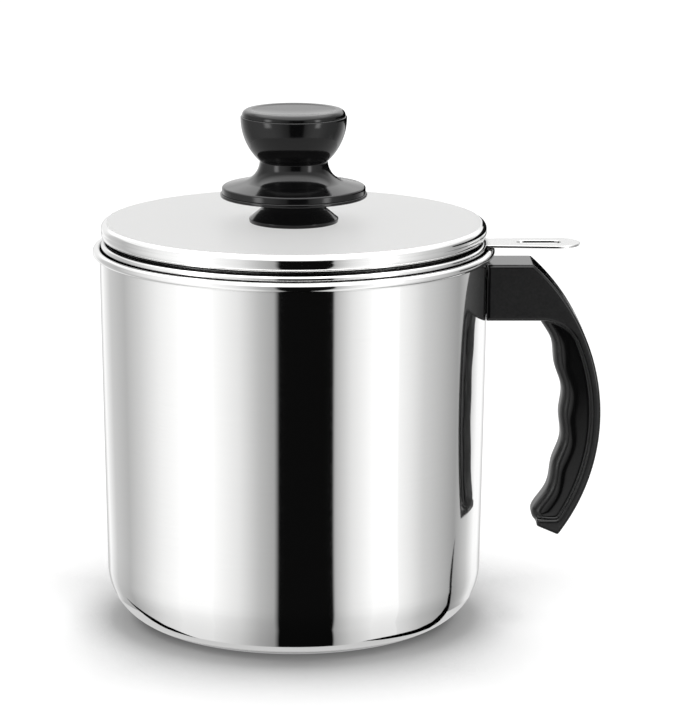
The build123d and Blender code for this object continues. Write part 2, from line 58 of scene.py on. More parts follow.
# %% Camera
camera_data = bpy.data.cameras.new("product_camera")
camera_data.sensor_width = 36.0
camera_data.lens = 171.73
camera_data.shift_x = 0.0632
camera_data.shift_y = -0.0385
camera_data.clip_end = 20.0
camera = bpy.data.objects.new("product_camera", camera_data)
camera.location = (0.0, -1075.5 * mm, 322.1 * mm)
camera.rotation_euler = (radians(90 - 12.06), 0.0, 0.0)
bpy.context.scene.collection.objects.link(camera)
bpy.context.scene.camera = camera
bpy.context.scene.view_settings.view_transform = "Standard"
print("camera at", tuple(round(v, 3) for v in camera.location))

# %% [markdown]
# ## Node helpers
#
# Materials here are small graphs. These helpers add a node, join two sockets, and fill a colour ramp
# from a list, so that each finish can be read as a short recipe.


# %% Helpers for shader nodes
def add_node(tree, kind, **settings):
    """Add a shader node. Settings are its own properties, such as operation."""
    node = tree.nodes.new(kind)
    for name, value in settings.items():
        setattr(node, name, value)
    return node


def fill(tree, slots, values):
    """Give each input slot a socket to follow, a number, or a colour of three numbers."""
    for slot, value in zip(slots, values):
        if isinstance(value, bpy.types.NodeSocket):
            tree.links.new(value, slot)
        else:
            slot.default_value = (*value, 1.0) if isinstance(value, tuple) else value


def calculate(tree, operation, *values, clamp=False):
    """A Math node on sockets or plain numbers. Returns its output."""
    node = add_node(tree, "ShaderNodeMath", operation=operation, use_clamp=clamp)
    fill(tree, node.inputs, values)
    return node.outputs[0]


def multiply(tree, *values):
    """The product of several sockets or numbers. For masks it means that all of them hold."""
    product = values[0]
    for value in values[1:]:
        product = calculate(tree, "MULTIPLY", product, value)
    return product


def split(tree, vector):
    """The x, y and z of a vector socket."""
    node = add_node(tree, "ShaderNodeSeparateXYZ")
    tree.links.new(vector, node.inputs[0])
    return node.outputs


def from_axis(tree, x, y):
    """How far a place with these x and y is from the upright axis."""
    place = add_node(tree, "ShaderNodeCombineXYZ")
    fill(tree, place.inputs, (x, y))
    node = add_node(tree, "ShaderNodeVectorMath", operation="LENGTH")
    tree.links.new(place.outputs[0], node.inputs[0])
    return node.outputs["Value"]


def mix_values(tree, factor, low, high):
    """Blend two numbers or sockets by a factor."""
    node = add_node(tree, "ShaderNodeMix", data_type="FLOAT")
    fill(tree, (node.inputs[0], node.inputs[2], node.inputs[3]), (factor, low, high))
    return node.outputs[0]


def mix_colours(tree, factor, low, high):
    """Blend two colours or sockets by a factor."""
    node = add_node(tree, "ShaderNodeMix", data_type="RGBA")
    fill(tree, (node.inputs[0], node.inputs[6], node.inputs[7]), (factor, low, high))
    return node.outputs[2]


def grey(value):
    """A grey colour."""
    return (value, value, value)


def grey_ramp(tree, factor, stops):
    """A colour ramp of greys from [(position, grey), ...]. It holds 32 stops at most."""
    node = add_node(tree, "ShaderNodeValToRGB")
    ramp = node.color_ramp
    ramp.elements.remove(ramp.elements[-1])
    for number, (position, light) in enumerate(stops):
        stop = ramp.elements[0] if number == 0 else ramp.elements.new(position)
        stop.position = position
        stop.color = (*grey(light), 1.0)
    tree.links.new(factor, node.inputs[0])
    return node.outputs[0]


print("helpers for shader nodes made")

# %% [markdown]
# ## The studio
#
# Mirror-polished steel has almost no colour of its own: what shows is the room. A product studio
# puts a ring of white cards, grey cards and one black card round the object. The black card in front
# draws the dark band down the middle of the pot, and the bright cards beside it draw the highlights.
#
# The cards could be planes that stand round the pot. Here they are drawn by direction instead, once
# for the world and once for the table top, because a wall seen from above mirrors mostly the table.
# Each entry of the list is a compass direction in degrees, where 0 points at the camera and positive
# angles turn towards the handle, and how bright the card looks there. Two cards have a small, very
# bright heart, where a lamp stands behind them.

# %% The cards round the object
black_card = 0.004
card_heart = 5.0
studio_cards = [
    (-180, 0.86), (-171, 0.60), (-160, 1.12), (-141, 0.68), (-120, 0.54), (-104, 0.74), (-86, 1.04),
    (-71, 1.20), (-63, card_heart), (-57, card_heart), (-49, 1.20), (-32, 0.92), (-20, 0.58), (-10.4, 0.42),
    (-9.2, black_card), (22.6, black_card), (24.0, 0.52), (34, 0.90), (47, 1.20),
    (52, card_heart), (57, card_heart), (64, 1.12), (74, 0.94), (84, 0.72), (115, 0.38), (132, 0.66),
    (147, 1.12), (160, 1.12), (171, 0.60), (180, 0.86),
]


def compass(tree, across, away):
    """The compass direction in degrees of a vector with these sockets as its x and its y."""
    turn = calculate(tree, "ARCTAN2", across, calculate(tree, "MULTIPLY", away, -1.0))
    return calculate(tree, "MULTIPLY", turn, 180 / pi)


def round_ramp(tree, direction, stops):
    """A ramp of greys round the compass from [(degrees, grey), ...]. The direction is a socket."""
    place = calculate(tree, "MULTIPLY_ADD", direction, 1 / 360, 0.5)
    return grey_ramp(tree, place, [((angle + 180) / 360, light) for angle, light in stops])


print("cards:", len(studio_cards))

# %% [markdown]
# The world takes the direction of each ray as its Generated coordinate, so cards, wall and boxes of
# light are all ramps over that direction. Light Path tells which kind of ray asks: the camera finds
# plain white, polished faces find the studio, and dull faces get an even light.

# %% The world: white for the camera, cards for the polished faces
world = bpy.data.worlds.new("studio_world")
world.use_nodes = True
bpy.context.scene.world = world
tree = world.node_tree
tree.nodes.clear()
across, away, upwards = split(tree, add_node(tree, "ShaderNodeTexCoord").outputs["Generated"])
cards = round_ramp(tree, compass(tree, across, away), studio_cards)

# The cards are low. A white wall stands over them, and a large box of light hangs overhead.
wall_light, box_light = 1.1, 3.6
above = grey_ramp(tree, upwards, [(0.0, 0.0), (0.34, 0.0), (0.46, 1.0)])
overhead = grey_ramp(tree, upwards, [(0.0, wall_light), (0.60, wall_light), (0.80, box_light)])
mirrored = mix_colours(tree, above, cards, overhead)

# Behind the object stands a white card, and a second box of light hangs over it.
level_away = calculate(tree, "DIVIDE", away, from_axis(tree, across, away))
behind = grey_ramp(tree, level_away, [(0.0, 0.0), (0.78, 0.0), (0.93, 1.0)])
back_light = grey_ramp(tree, upwards, [
    (0.0, 0.95), (0.24, 1.0), (0.34, 1.4), (0.60, 1.4), (0.78, box_light)])
mirrored = mix_colours(tree, behind, mirrored, back_light)

# A low black cloth on the handle's side keeps the outline of the handle's back dark.
cloth_across, cloth_away, cloth_top = 0.12, 0.30, 0.17
on_cloth = multiply(
    tree, calculate(tree, "GREATER_THAN", across, cloth_across),
    calculate(tree, "GREATER_THAN", away, cloth_away), calculate(tree, "LESS_THAN", upwards, cloth_top))
mirrored = mix_colours(tree, on_cloth, mirrored, grey(0.01))

path = add_node(tree, "ShaderNodeLightPath")
seen = calculate(tree, "MAXIMUM", path.outputs["Is Camera Ray"], path.outputs["Is Transmission Ray"])
even_light = grey(0.78)
for_objects = mix_colours(tree, path.outputs["Is Glossy Ray"], even_light, mirrored)
background = add_node(tree, "ShaderNodeBackground")
tree.links.new(mix_colours(tree, seen, for_objects, grey(1.0)), background.inputs["Color"])
out = add_node(tree, "ShaderNodeOutputWorld")
tree.links.new(background.outputs[0], out.inputs["Surface"])
print("world nodes:", len(tree.nodes))

# %% [markdown]
# The table top is a white sheet, a little below the pot's bottom so that the two never flicker. Its
# material needs two distances: how far a spot is from the pot's axis, and in which direction.

# %% The sheet on the table
sheet_reach = 6.0
floor_mesh = bpy.data.meshes.new("table_top")
sides = [(-1, -1), (1, -1), (1, 1), (-1, 1)]
corners = [(x * sheet_reach, y * sheet_reach, -0.05 * mm) for x, y in sides]
floor_mesh.from_pydata(corners, [], [(0, 1, 2, 3)])
floor = bpy.data.objects.new("table_top", floor_mesh)
bpy.context.scene.collection.objects.link(floor)

floor_paint = bpy.data.materials.new("white_table")
floor_paint.use_nodes = True
floor_mesh.materials.append(floor_paint)
tree = floor_paint.node_tree
tree.nodes.clear()
spot = split(tree, add_node(tree, "ShaderNodeNewGeometry").outputs["Position"])
spread = from_axis(tree, spot[0], spot[1])
spot_heading = compass(tree, spot[0], spot[1])
print("table top laid, metres across:", 2 * sheet_reach)

# %% [markdown]
# The polished wall mirrors the same cards in the table. A wall that is 60 mm from the axis mirrors a
# spot in a direction that isn't the spot's own compass direction, so the direction is corrected by the
# spot's distance. Close to the pot the table is dimmer, a painted shade that stands for the pot's own
# shadow in what the wall mirrors. The cards' bright hearts show only far out, beyond the spots that the
# wall mirrors, so they give sparks to the knob and the rims and don't burn the wall.

# %% The cards on the table
nearest, wall_bend, least_bend = 30, 25.5, 0.615
distance = calculate(tree, "MAXIMUM", spread, nearest * mm)
bend = calculate(tree, "SUBTRACT", 1.0, calculate(tree, "DIVIDE", wall_bend * mm, distance))
heading = calculate(tree, "DIVIDE", spot_heading, calculate(tree, "MAXIMUM", bend, least_bend))
heading = calculate(tree, "MINIMUM", calculate(tree, "MAXIMUM", heading, -180.0), 180.0)
cards = round_ramp(tree, heading, studio_cards)
hearts_from, hearts_full, near_limit, far_limit = 600, 680, 1.22, 6.0
brightest = add_node(tree, "ShaderNodeMapRange")
fill(tree, brightest.inputs, (spread, hearts_from * mm, hearts_full * mm, near_limit, far_limit))
burnt = calculate(tree, "GREATER_THAN", cards, brightest.outputs[0])
cards = mix_colours(tree, burnt, cards, brightest.outputs[0])
# Painted shade: the mirrored table is darker close to the pot, for the pot's own shadow.
near_pot_shade_within = 200
near_pot_shade = grey_ramp(tree, calculate(tree, "DIVIDE", spread, near_pot_shade_within * mm), [
    (0.26, 0.70), (0.33, 0.78), (0.45, 0.92), (0.62, 1.0)])
print("nodes for the cards on the table:", len(tree.nodes))

# %% [markdown]
# Two narrow black strips are painted round the pot's foot as a painted shadow: the pot's round corner
# mirrors them as dark crescents, where it would mirror the shade under its own foot. Each strip is a
# middle line and a half width, both given round the compass. Inside the strips the table is white. The
# black cloth that the world has on the handle's side reaches over the far part of the table.

# %% The painted shadow strips and the cloth on the table
shadow_strip_middle = [
    (-90, 72), (-78, 65.5), (-63, 59.5), (-53, 56), (-39, 53.4), (-20, 53), (20, 53), (27, 54.3),
    (50, 53.6), (59, 54.8), (65, 58.5), (71, 66), (80, 90), (91, 128), (100, 165),
]
shadow_strip_half = [
    (-86, 0), (-72, 1.1), (-60, 1.6), (-48, 1.1), (-37, 0), (25, 0), (34, 0.9), (50, 1.6),
    (58, 2.4), (65, 3.4), (71, 3.6), (80, 3.6), (91, 3.6), (98, 0),
]
longest_reach, widest_half, inside_reach = 200, 10, 61
cloth_from, cloth_side = 700, 118


def round_line(tree, direction, stops, largest):
    """A length in metres round the compass, from [(degrees, mm), ...] up to the largest mm."""
    line = round_ramp(tree, direction, [(angle, length / largest) for angle, length in stops])
    return calculate(tree, "MULTIPLY", line, largest * mm)


# Painted shadow: dark strips on the mirrored table stand for the shade under the pot's foot.
shadow_strip_edge = round_line(tree, spot_heading, shadow_strip_half, widest_half)
off_line = calculate(
    tree, "SUBTRACT", spread, round_line(tree, spot_heading, shadow_strip_middle, longest_reach))
on_shadow_strip = calculate(tree, "LESS_THAN", calculate(tree, "ABSOLUTE", off_line), shadow_strip_edge)
inside_shadow_strip = multiply(
    tree, calculate(tree, "LESS_THAN", off_line, calculate(tree, "MULTIPLY", shadow_strip_edge, -1.0)),
    calculate(tree, "LESS_THAN", spread, inside_reach * mm))
cards = mix_colours(tree, inside_shadow_strip, cards, grey(0.95))
on_cloth = multiply(
    tree, calculate(tree, "GREATER_THAN", spot[1], cloth_from * mm),
    calculate(tree, "GREATER_THAN", spot[0], cloth_side * mm))
lit = multiply(
    tree, near_pot_shade, calculate(tree, "SUBTRACT", 1.0, on_shadow_strip), calculate(tree, "SUBTRACT", 1.0, on_cloth))
print("strips drawn round the foot, table nodes:", len(tree.nodes))

# %% [markdown]
# What the camera sees of the table is a diffuse sheet under the lamps, lifted to plain white wherever
# nothing shelters it. Ambient Occlusion measures the shelter. The shadow is long towards the front and
# short at the sides, where only a near wall counts.

# %% The shadow on the table and the finished material
front_reach, side_reach = 90, 34
front_shelter = add_node(tree, "ShaderNodeAmbientOcclusion", samples=16)
front_shelter.inputs["Distance"].default_value = front_reach * mm
open_front = grey_ramp(tree, front_shelter.outputs["AO"], [
    (0.0, 0.12), (0.15, 0.13), (0.30, 0.08), (0.45, 0.07), (0.55, 0.12), (0.64, 0.22),
    (0.70, 0.33), (0.76, 0.46), (0.85, 0.62), (1.0, 0.72)])
side_shelter = add_node(tree, "ShaderNodeAmbientOcclusion", samples=16)
side_shelter.inputs["Distance"].default_value = side_reach * mm
open_side = grey_ramp(tree, side_shelter.outputs["AO"], [
    (0.0, 0.05), (0.50, 0.06), (0.60, 0.20), (0.70, 0.40), (0.82, 0.60), (1.0, 0.72)])
sideways = grey_ramp(tree, calculate(tree, "DIVIDE", calculate(tree, "ABSOLUTE", spot_heading), 180.0), [
    (0.0, 0.0), (0.22, 0.0), (0.44, 1.0), (0.51, 1.0), (0.66, 0.0)])
open_sky = mix_colours(tree, sideways, open_front, open_side)

path = add_node(tree, "ShaderNodeLightPath")
mirror_light = add_node(tree, "ShaderNodeEmission")
fill(tree, mirror_light.inputs, (cards, lit))
sheet_white = add_node(tree, "ShaderNodeBsdfDiffuse")
fill(tree, sheet_white.inputs, (mix_colours(tree, path.outputs["Is Camera Ray"], grey(0.80), grey(0.50)),))
lift = add_node(tree, "ShaderNodeEmission")
fill(tree, lift.inputs, (grey(1.0), multiply(tree, path.outputs["Is Camera Ray"], open_sky)))
plain = add_node(tree, "ShaderNodeAddShader")
fill(tree, plain.inputs, (sheet_white.outputs[0], lift.outputs[0]))
choose = add_node(tree, "ShaderNodeMixShader")
fill(tree, choose.inputs, (path.outputs["Is Glossy Ray"], plain.outputs[0], mirror_light.outputs[0]))
out = add_node(tree, "ShaderNodeOutputMaterial")
tree.links.new(choose.outputs[0], out.inputs["Surface"])
print("table finished, nodes:", len(tree.nodes))

# %% [markdown]
# Three soft lamps give the shadow on the table its shape. The highest hangs a little behind the pot,
# so most of the shadow falls to the front. They are large and far, so the shadow's edge is soft, and
# they are left out of mirror reflections, where the cards already stand for them.


# %% Lamps
def soft_lamp(name, place, size, power):
    """A square lamp that points at the pot."""
    data = bpy.data.lights.new(name, "AREA")
    data.size = size
    data.energy = power
    lamp = bpy.data.objects.new(name, data)
    lamp.location = place
    lamp.rotation_euler = (Vector((0, 0, 60 * mm)) - Vector(place)).to_track_quat("-Z", "Y").to_euler()
    lamp.visible_glossy = False
    bpy.context.scene.collection.objects.link(lamp)
    return lamp


lamps = [
    soft_lamp("lamp_left", (-1.1, -0.7, 1.3), size=0.9, power=1.0),
    soft_lamp("lamp_right", (1.2, -0.5, 1.4), size=0.9, power=1.0),
    soft_lamp("lamp_above", (0.0, 0.45, 1.9), size=0.7, power=2.5),
]
print("lamps:", [lamp.name for lamp in lamps])

# %% [markdown]
# ## Shared surface effects
#
# Four effects appear on several finishes, so each is built once as a node group. Turned streaks are
# the fine rings that a polishing wheel leaves. Rubbed edges are the brighter or duller corners that
# hands and washing leave. Handling marks are the faint cloudy patches on every glossy piece. Gap
# shading is painted shade: it darkens the colour in the narrow gaps between the rim, the strainer's
# hoop and the lid.


# %% Node groups for streaks, edges, handling marks and painted gap shade
def new_group(name, inputs, outputs):
    """A shader node group with named number inputs and outputs."""
    group = bpy.data.node_groups.new(name, "ShaderNodeTree")
    for label, value in inputs:
        if label == "Vector":
            group.interface.new_socket(label, in_out="INPUT", socket_type="NodeSocketVector")
        else:
            socket = group.interface.new_socket(label, in_out="INPUT", socket_type="NodeSocketFloat")
            socket.default_value = value
    for label in outputs:
        group.interface.new_socket(label, in_out="OUTPUT", socket_type="NodeSocketFloat")
    return group, group.nodes.new("NodeGroupInput"), group.nodes.new("NodeGroupOutput")


def build_turned_streaks():
    """Fine rings round the pot's axis, uneven along each ring."""
    group, given, made = new_group(
        "turned_streaks", [("Vector", None), ("Rings per mm", 4.0), ("Length", 6.0)], ["Streak", "Haze"]
    )
    x, y, z = split(group, given.outputs["Vector"])
    rings = calculate(group, "MULTIPLY", given.outputs["Rings per mm"], 1 / mm)
    turn = calculate(group, "ARCTAN2", x, y)
    place = add_node(group, "ShaderNodeCombineXYZ")
    fill(group, place.inputs, (
        calculate(group, "MULTIPLY", from_axis(group, x, y), rings), calculate(group, "MULTIPLY", z, rings),
        calculate(group, "MULTIPLY", turn, given.outputs["Length"])))
    fine = add_node(group, "ShaderNodeTexNoise")
    fine.inputs["Scale"].default_value = 1.0
    fine.inputs["Detail"].default_value = 3.0
    group.links.new(place.outputs[0], fine.inputs["Vector"])
    group.links.new(fine.outputs[0], made.inputs["Streak"])
    broad = add_node(group, "ShaderNodeTexNoise")
    broad.inputs["Scale"].default_value = 0.12
    broad.inputs["Detail"].default_value = 2.0
    group.links.new(place.outputs[0], broad.inputs["Vector"])
    group.links.new(broad.outputs[0], made.inputs["Haze"])
    return group


def build_rubbed_edges():
    """A mask that is 1 on outward corners and fades within a small width, broken up by noise."""
    group, given, made = new_group(
        "rubbed_edges", [("Vector", None), ("Start", 0.52), ("End", 0.60), ("Breakup", 0.5)], ["Edge"]
    )
    point = add_node(group, "ShaderNodeNewGeometry").outputs["Pointiness"]
    span = add_node(group, "ShaderNodeMapRange")
    fill(group, span.inputs, (point, given.outputs["Start"], given.outputs["End"]))
    patchy = add_node(group, "ShaderNodeTexNoise")
    patchy.inputs["Scale"].default_value = 260.0
    patchy.inputs["Detail"].default_value = 3.0
    group.links.new(given.outputs["Vector"], patchy.inputs["Vector"])
    keep = mix_values(group, given.outputs["Breakup"], 1.0, patchy.outputs[0])
    group.links.new(calculate(group, "MULTIPLY", span.outputs[0], keep, clamp=True), made.inputs["Edge"])
    return group


def build_handling_marks():
    """Faint cloudy patches, and very small specks of dust."""
    group, given, made = new_group(
        "handling_marks", [("Vector", None), ("Patch size", 22.0), ("Speck size", 900.0)], ["Patch", "Speck"]
    )
    cloud = add_node(group, "ShaderNodeTexNoise")
    cloud.inputs["Detail"].default_value = 4.0
    cloud.inputs["Distortion"].default_value = 0.6
    group.links.new(given.outputs["Vector"], cloud.inputs["Vector"])
    group.links.new(given.outputs["Patch size"], cloud.inputs["Scale"])
    patches = grey_ramp(group, cloud.outputs[0], [(0.35, 0.0), (0.70, 1.0)])
    group.links.new(patches, made.inputs["Patch"])
    grit = add_node(group, "ShaderNodeTexVoronoi")
    group.links.new(given.outputs["Vector"], grit.inputs["Vector"])
    group.links.new(given.outputs["Speck size"], grit.inputs["Scale"])
    specks = grey_ramp(group, grit.outputs["Distance"], [(0.04, 1.0), (0.10, 0.0)])
    group.links.new(specks, made.inputs["Speck"])
    return group


def build_gap_shading():
    """A mask for painted shade: 1 in narrow gaps, where light hardly reaches."""
    group, given, made = new_group(
        "gap_shading", [("Vector", None), ("Reach", 0.004), ("Open", 0.66), ("Shut", 0.40)], ["Gap"]
    )
    shelter = add_node(group, "ShaderNodeAmbientOcclusion", samples=8)
    group.links.new(given.outputs["Reach"], shelter.inputs["Distance"])
    span = add_node(group, "ShaderNodeMapRange")
    fill(group, span.inputs, (shelter.outputs["AO"], given.outputs["Open"], given.outputs["Shut"]))
    group.links.new(span.outputs[0], made.inputs["Gap"])
    return group


turned_streaks = build_turned_streaks()
rubbed_edges = build_rubbed_edges()
handling_marks = build_handling_marks()
gap_shading = build_gap_shading()
print("groups:", [g.name for g in (turned_streaks, rubbed_edges, handling_marks, gap_shading)])

# %% [markdown]
# ## The finishes
#
# Each finish starts as a Principled shader with its constant values set on the shader itself. The
# groups then vary the colour, the roughness and a very small bump.


# %% Helpers that start a finish and place a group in it
def new_finish(name, colour, metallic, roughness, ior=1.5):
    """A material with a Principled shader, and the object's own coordinates."""
    material = bpy.data.materials.new(name)
    material.use_nodes = True
    tree = material.node_tree
    shader = tree.nodes["Principled BSDF"]
    shader.inputs["Base Color"].default_value = (*colour, 1.0)
    shader.inputs["Metallic"].default_value = metallic
    shader.inputs["Roughness"].default_value = roughness
    shader.inputs["IOR"].default_value = ior
    place = add_node(tree, "ShaderNodeTexCoord").outputs["Object"]
    return material, tree, shader, place


def place_group(tree, group, vector, **values):
    """Put a node group in a material. Values are its inputs, with _ for a space."""
    node = add_node(tree, "ShaderNodeGroup", node_tree=group)
    tree.links.new(vector, node.inputs["Vector"])
    for name, value in values.items():
        node.inputs[name.replace("_", " ")].default_value = value
    return node.outputs


def add_bump(tree, shader, height, depth):
    """Raise the surface by a height socket. Depth is in millimetres."""
    bump = add_node(tree, "ShaderNodeBump")
    bump.inputs["Distance"].default_value = depth * mm
    tree.links.new(height, bump.inputs["Height"])
    tree.links.new(bump.outputs["Normal"], shader.inputs["Normal"])


print("helpers for finishes made")

# %% [markdown]
# Polished steel sheet is nearly a mirror. A buffing wheel leaves rings too fine to see one by one,
# but they stretch each highlight slightly, and a few cloudy marks stay from handling. The lid's top is
# brushed to a pale satin inside its crease, which here covers most of the mirror with a dull layer.


# %% Steel finishes
# The colour of the painted shade in narrow gaps.
painted_gap_shade = (0.012, 0.012, 0.012)
satin_metal, satin_rough, satin_tone = 0.04, 0.42, 0.94
satin_ior, bare_ior = 1.1, 1.5
satin_radius, satin_from = 59.3, 128.5


def build_steel(name, colour, roughness, haze, streak_depth, rings, patch, satin=False):
    """A steel finish. Haze is how far the roughness varies. Satin gives it the lid's dull top."""
    ior = satin_ior if satin else bare_ior
    material, tree, shader, place = new_finish(name, colour, 1.0, roughness, ior)
    streaks = place_group(tree, turned_streaks, place, Rings_per_mm=rings, Length=6.0)
    marks = place_group(tree, handling_marks, place, Patch_size=patch)
    edges = place_group(tree, rubbed_edges, place, Start=0.53, End=0.62, Breakup=0.6)
    gaps = place_group(tree, gap_shading, place)
    dull = calculate(tree, "MULTIPLY_ADD", streaks["Haze"], haze, roughness - 0.5 * haze)
    marked = calculate(tree, "MULTIPLY_ADD", marks["Patch"], 0.35 * haze, dull)
    worn = calculate(tree, "MULTIPLY_ADD", edges["Edge"], 0.05, marked)
    tinted = mix_colours(tree, streaks["Streak"], tuple(0.965 * c for c in colour), colour)
    cloudy = calculate(tree, "MULTIPLY", marks["Patch"], 0.10)
    shade = mix_colours(tree, cloudy, tinted, tuple(0.90 * c for c in colour))
    if satin:
        x, y, z = split(tree, place)
        on_top = multiply(
            tree, calculate(tree, "LESS_THAN", from_axis(tree, x, y), satin_radius * mm),
            calculate(tree, "GREATER_THAN", z, satin_from * mm))
        tree.links.new(mix_values(tree, on_top, 1.0, satin_metal), shader.inputs["Metallic"])
        worn = mix_values(tree, on_top, worn, satin_rough)
        shade = mix_colours(tree, on_top, shade, tuple(satin_tone * c for c in colour))
    tree.links.new(worn, shader.inputs["Roughness"])
    # Painted shade: the colour goes dark in narrow gaps, where Ambient Occlusion finds shelter.
    tree.links.new(mix_colours(tree, gaps["Gap"], shade, painted_gap_shade), shader.inputs["Base Color"])
    add_bump(tree, shader, streaks["Streak"], streak_depth)
    return material


# In order: colour, roughness, haze, depth of the streaks in mm, rings per mm, size of the patches.
mirror = ((0.86, 0.86, 0.855), 0.055, 0.03, 0.0004, 3.0, 18.0)
polished_steel = build_steel("polished_steel", *mirror)
lid_steel = build_steel("lid_steel", *mirror, satin=True)
tab_steel = build_steel("tab_steel", (0.72, 0.72, 0.715), 0.20, 0.08, 0.002, 4.0, 30.0)
plain_steel = build_steel("plain_steel", (0.70, 0.70, 0.69), 0.30, 0.12, 0.004, 5.0, 30.0)
woven_steel = build_steel("woven_steel", (0.66, 0.66, 0.65), 0.26, 0.10, 0.002, 8.0, 60.0)
fastener_steel = build_steel("fastener_steel", (0.62, 0.62, 0.62), 0.24, 0.10, 0.003, 9.0, 90.0)
print("steel finishes made")

# %% [markdown]
# The handle and the knob are black phenolic mouldings. The moulding comes out of its die with a deep
# gloss over a faint ripple. Edges that hands rub are a little duller, and small specks of dust show.
# The handle's flat sides have a satin grain from the die, and its inner side is dulled by fingers and
# lightened by a painted sheen. Both are picked out by place and by the way that the surface faces.


# %% Black moulding and brass
handle_start, flat_start = 62, 8.6


def build_black_moulding():
    """Glossy black resin, rubbed edges and dust. Satin flat sides; the grip's inner side is dulled and has a
    painted sheen.
    """
    black = (0.004, 0.004, 0.0042)
    material, tree, shader, place = new_finish("black_moulding", black, 0.0, 0.10, 1.39)
    marks = place_group(tree, handling_marks, place, Patch_size=60.0, Speck_size=1400.0)
    edges = place_group(tree, rubbed_edges, place, Start=0.52, End=0.60, Breakup=0.5)
    x, y = split(tree, place)[:2]
    facing = split(tree, add_node(tree, "ShaderNodeTexCoord").outputs["Normal"])
    on_handle = calculate(tree, "GREATER_THAN", x, handle_start * mm)
    outermost = calculate(tree, "GREATER_THAN", calculate(tree, "ABSOLUTE", y), flat_start * mm)
    sideways = grey_ramp(tree, calculate(tree, "ABSOLUTE", facing[1]), [(0.960, 0.0), (0.995, 1.0)])
    flat_side = multiply(tree, on_handle, outermost, sideways)
    held_wear_and_sheen = grey_ramp(tree, multiply(tree, facing[0], -1.0, on_handle), [(0.30, 0.0), (0.95, 1.0)])
    grain = add_node(tree, "ShaderNodeTexNoise")
    grain.inputs["Scale"].default_value = 1500.0
    grain.inputs["Detail"].default_value = 2.0
    tree.links.new(place, grain.inputs["Vector"])
    dull = calculate(tree, "MULTIPLY_ADD", marks["Patch"], 0.05, 0.10)
    worn = calculate(tree, "MULTIPLY_ADD", edges["Edge"], 0.08, dull)
    handled = mix_values(tree, held_wear_and_sheen, worn, 0.34)
    tree.links.new(mix_values(tree, flat_side, handled, 0.38), shader.inputs["Roughness"])
    rubbed = mix_colours(tree, multiply(tree, edges["Edge"], 0.5), black, (0.020, 0.020, 0.021))
    shade = mix_colours(tree, multiply(tree, marks["Speck"], 0.08), rubbed, (0.10, 0.10, 0.095))
    # Painted sheen: the side that faces the pot is lighter in colour, for a broad reflection; fingers also
    # dull it.
    shade = mix_colours(tree, held_wear_and_sheen, shade, grey(0.03))
    grainy = mix_colours(tree, grain.outputs[0], (0.004, 0.004, 0.0042), (0.022, 0.022, 0.0225))
    tree.links.new(mix_colours(tree, flat_side, shade, grainy), shader.inputs["Base Color"])
    ripple = add_node(tree, "ShaderNodeTexNoise")
    ripple.inputs["Scale"].default_value = 420.0
    ripple.inputs["Detail"].default_value = 3.0
    tree.links.new(place, ripple.inputs["Vector"])
    add_bump(tree, shader, ripple.outputs[0], 0.006)
    return material


def build_brass():
    """Turned brass with cutter rings and a tone that browns slightly in broad patches."""
    material, tree, shader, place = new_finish("brass_insert", (0.74, 0.55, 0.26), 1.0, 0.28)
    streaks = place_group(tree, turned_streaks, place, Rings_per_mm=6.0, Length=4.0)
    tint = mix_colours(tree, streaks["Haze"], (0.62, 0.44, 0.20), (0.78, 0.60, 0.30))
    tree.links.new(tint, shader.inputs["Base Color"])
    dull = calculate(tree, "MULTIPLY_ADD", streaks["Streak"], 0.14, 0.20)
    tree.links.new(dull, shader.inputs["Roughness"])
    add_bump(tree, shader, streaks["Streak"], 0.01)
    return material


black_moulding = build_black_moulding()
brass_insert = build_brass()
finishes = {
    "polished_steel": polished_steel,
    "plain_steel": plain_steel,
    "woven_steel": woven_steel,
    "fastener_steel": fastener_steel,
    "black_moulding": black_moulding,
    "brass_insert": brass_insert,
}
print("finishes:", sorted(finishes))

# %% [markdown]
# ## Profiles and turning
#
# Nearly every piece is round, so one tool makes most of them: draw half of the section as a line and
# turn it round the axis. A mirror finish shows every flat spot, so the turning has 288 steps or more,
# corners are short arcs, and long straight runs get a point close to each end, which keeps their
# shading flat.


# %% Helpers for profiles
def bow(start, middle, end, steps):
    """Points on the arc through three points."""
    a, b, c = (Vector(p) for p in (start, middle, end))
    d = 2 * (a.x * (b.y - c.y) + b.x * (c.y - a.y) + c.x * (a.y - b.y))
    aa, bb, cc = a.length_squared, b.length_squared, c.length_squared
    centre = Vector((
        (aa * (b.y - c.y) + bb * (c.y - a.y) + cc * (a.y - b.y)) / d,
        (aa * (c.x - b.x) + bb * (a.x - c.x) + cc * (b.x - a.x)) / d,
    ))
    first = atan2(a.y - centre.y, a.x - centre.x)
    sweep = (atan2(c.y - centre.y, c.x - centre.x) - first + pi) % (2 * pi) - pi
    through = (atan2(b.y - centre.y, b.x - centre.x) - first + pi) % (2 * pi) - pi
    if through * sweep < 0:
        sweep += 2 * pi if sweep < 0 else -2 * pi
    radius = (a - centre).length
    angles = [first + sweep * k / steps for k in range(steps + 1)]
    return [(centre.x + radius * cos(angle), centre.y + radius * sin(angle)) for angle in angles]


def soften(corners, closed=True, step=8.0):
    """Round the corners of a line of (radius, height, corner round) entries. Round 0 stays sharp."""
    points = []
    count = len(corners)
    for number, (x, y, round_size) in enumerate(corners):
        here = Vector((x, y))
        if round_size == 0 or (not closed and number in (0, count - 1)):
            points.append((x, y))
            continue
        back = (Vector(corners[number - 1][:2]) - here).normalized()
        ahead = (Vector(corners[(number + 1) % count][:2]) - here).normalized()
        inside = back.angle(ahead)
        reach = round_size / tan(inside / 2)
        centre = here + (back + ahead).normalized() * (round_size / sin(inside / 2))
        start = here + back * reach - centre
        side = 1 if start.cross(here + ahead * reach - centre) > 0 else -1
        steps = max(2, ceil(degrees(pi - inside) / step))
        for k in range(steps + 1):
            points.append(tuple(centre + Matrix.Rotation(side * (pi - inside) * k / steps, 2) @ start))
    return points


